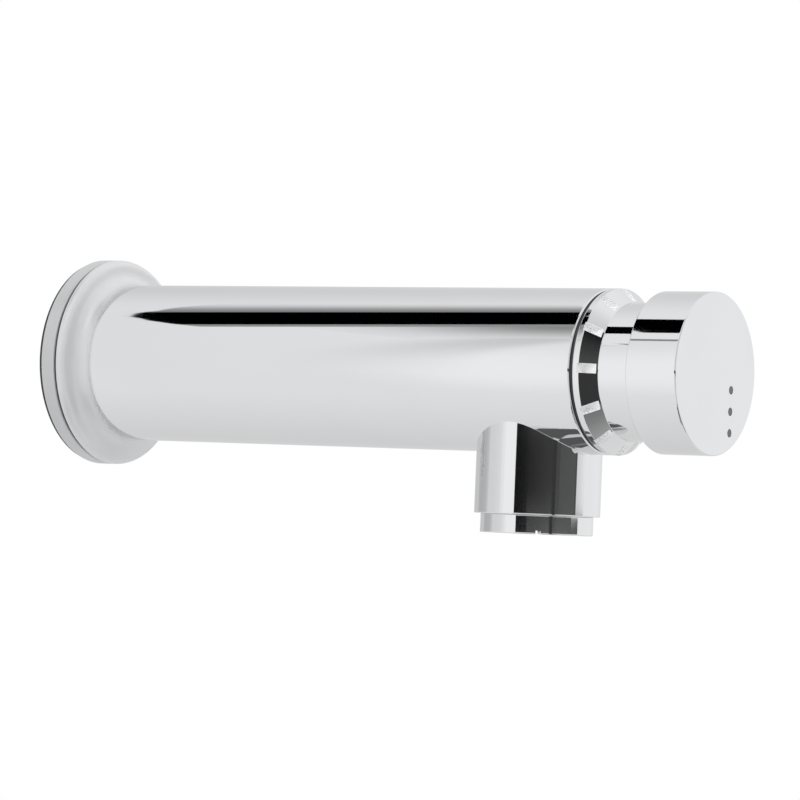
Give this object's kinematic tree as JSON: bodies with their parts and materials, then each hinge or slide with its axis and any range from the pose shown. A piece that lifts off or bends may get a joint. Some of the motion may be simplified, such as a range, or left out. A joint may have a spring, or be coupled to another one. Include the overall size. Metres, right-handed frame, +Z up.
{
  "type": "push timed tap",
  "caption": "Chromed wall-mounted push timed tap: straight round body with flange and wall ring, notched bonnet, sliding push button, short downward spout with aerator.",
  "frame": {"origin": "centre of the inlet on the wall plane, where the rear face of the wall gasket lies", "axes": "+Y into the wall along the inlet thread, the tap stands out along -Y, +Z up, the spout points down along -Z"},
  "size_m": [0.0528, 0.193, 0.066],
  "materials": {
    "chrome": "polished chrome plate on brass",
    "black_rubber": "smooth moulded rubber",
    "brass": "turned brass",
    "stainless_steel": "turned and drawn stainless steel",
    "white_plastic": "moulded acetal",
    "green_plastic": "moulded plastic",
    "red_fibre": "pressed vulcanised fibre",
    "dot_enamel": "dark enamel filling"
  },
  "bodies": {
    "tap": {"wall_gasket": "black_rubber", "wall_ring": "chrome", "flange_gasket": "black_rubber", "body": "chrome", "inlet_nipple": "brass", "nipple_washer": "red_fibre", "inlet_strainer": "stainless_steel", "cartridge_sleeve": "brass", "seat_ring": "stainless_steel", "rear_o_ring": "black_rubber", "front_o_ring": "black_rubber", "stem_guide": "white_plastic", "stem_guide_o_ring": "black_rubber", "dashpot_cap": "brass", "gland_o_ring": "black_rubber", "bonnet_gasket": "black_rubber", "bonnet": "chrome", "aerator_washer": "black_rubber", "aerator_regulator": "green_plastic", "aerator_screen": "stainless_steel", "aerator_insert": "white_plastic", "aerator_ring": "chrome", "return_spring": "stainless_steel"},
    "plunger": {"stem": "stainless_steel", "poppet": "brass", "poppet_washer": "black_rubber", "poppet_nut": "stainless_steel", "piston": "white_plastic", "cup_seal": "black_rubber", "bleed_jet": "brass", "piston_clip": "stainless_steel", "snap_ring": "stainless_steel"},
    "push_button": {"button_hub": "white_plastic", "button": "chrome", "button_dots": "dot_enamel"}
  },
  "joints": [
    {"name": "button_slide", "type": "slide", "parent": "tap", "child": "plunger", "axis": [0, 1, 0], "range_m": [0, 0.007], "stiffness_N_per_m": 600, "deforming": ["return_spring"]},
    {"name": "button_swivel", "type": "hinge", "parent": "plunger", "child": "push_button", "pos_m": [0, -0.175, 0], "axis": [0, 1, 0], "continuous": true}
  ]
}
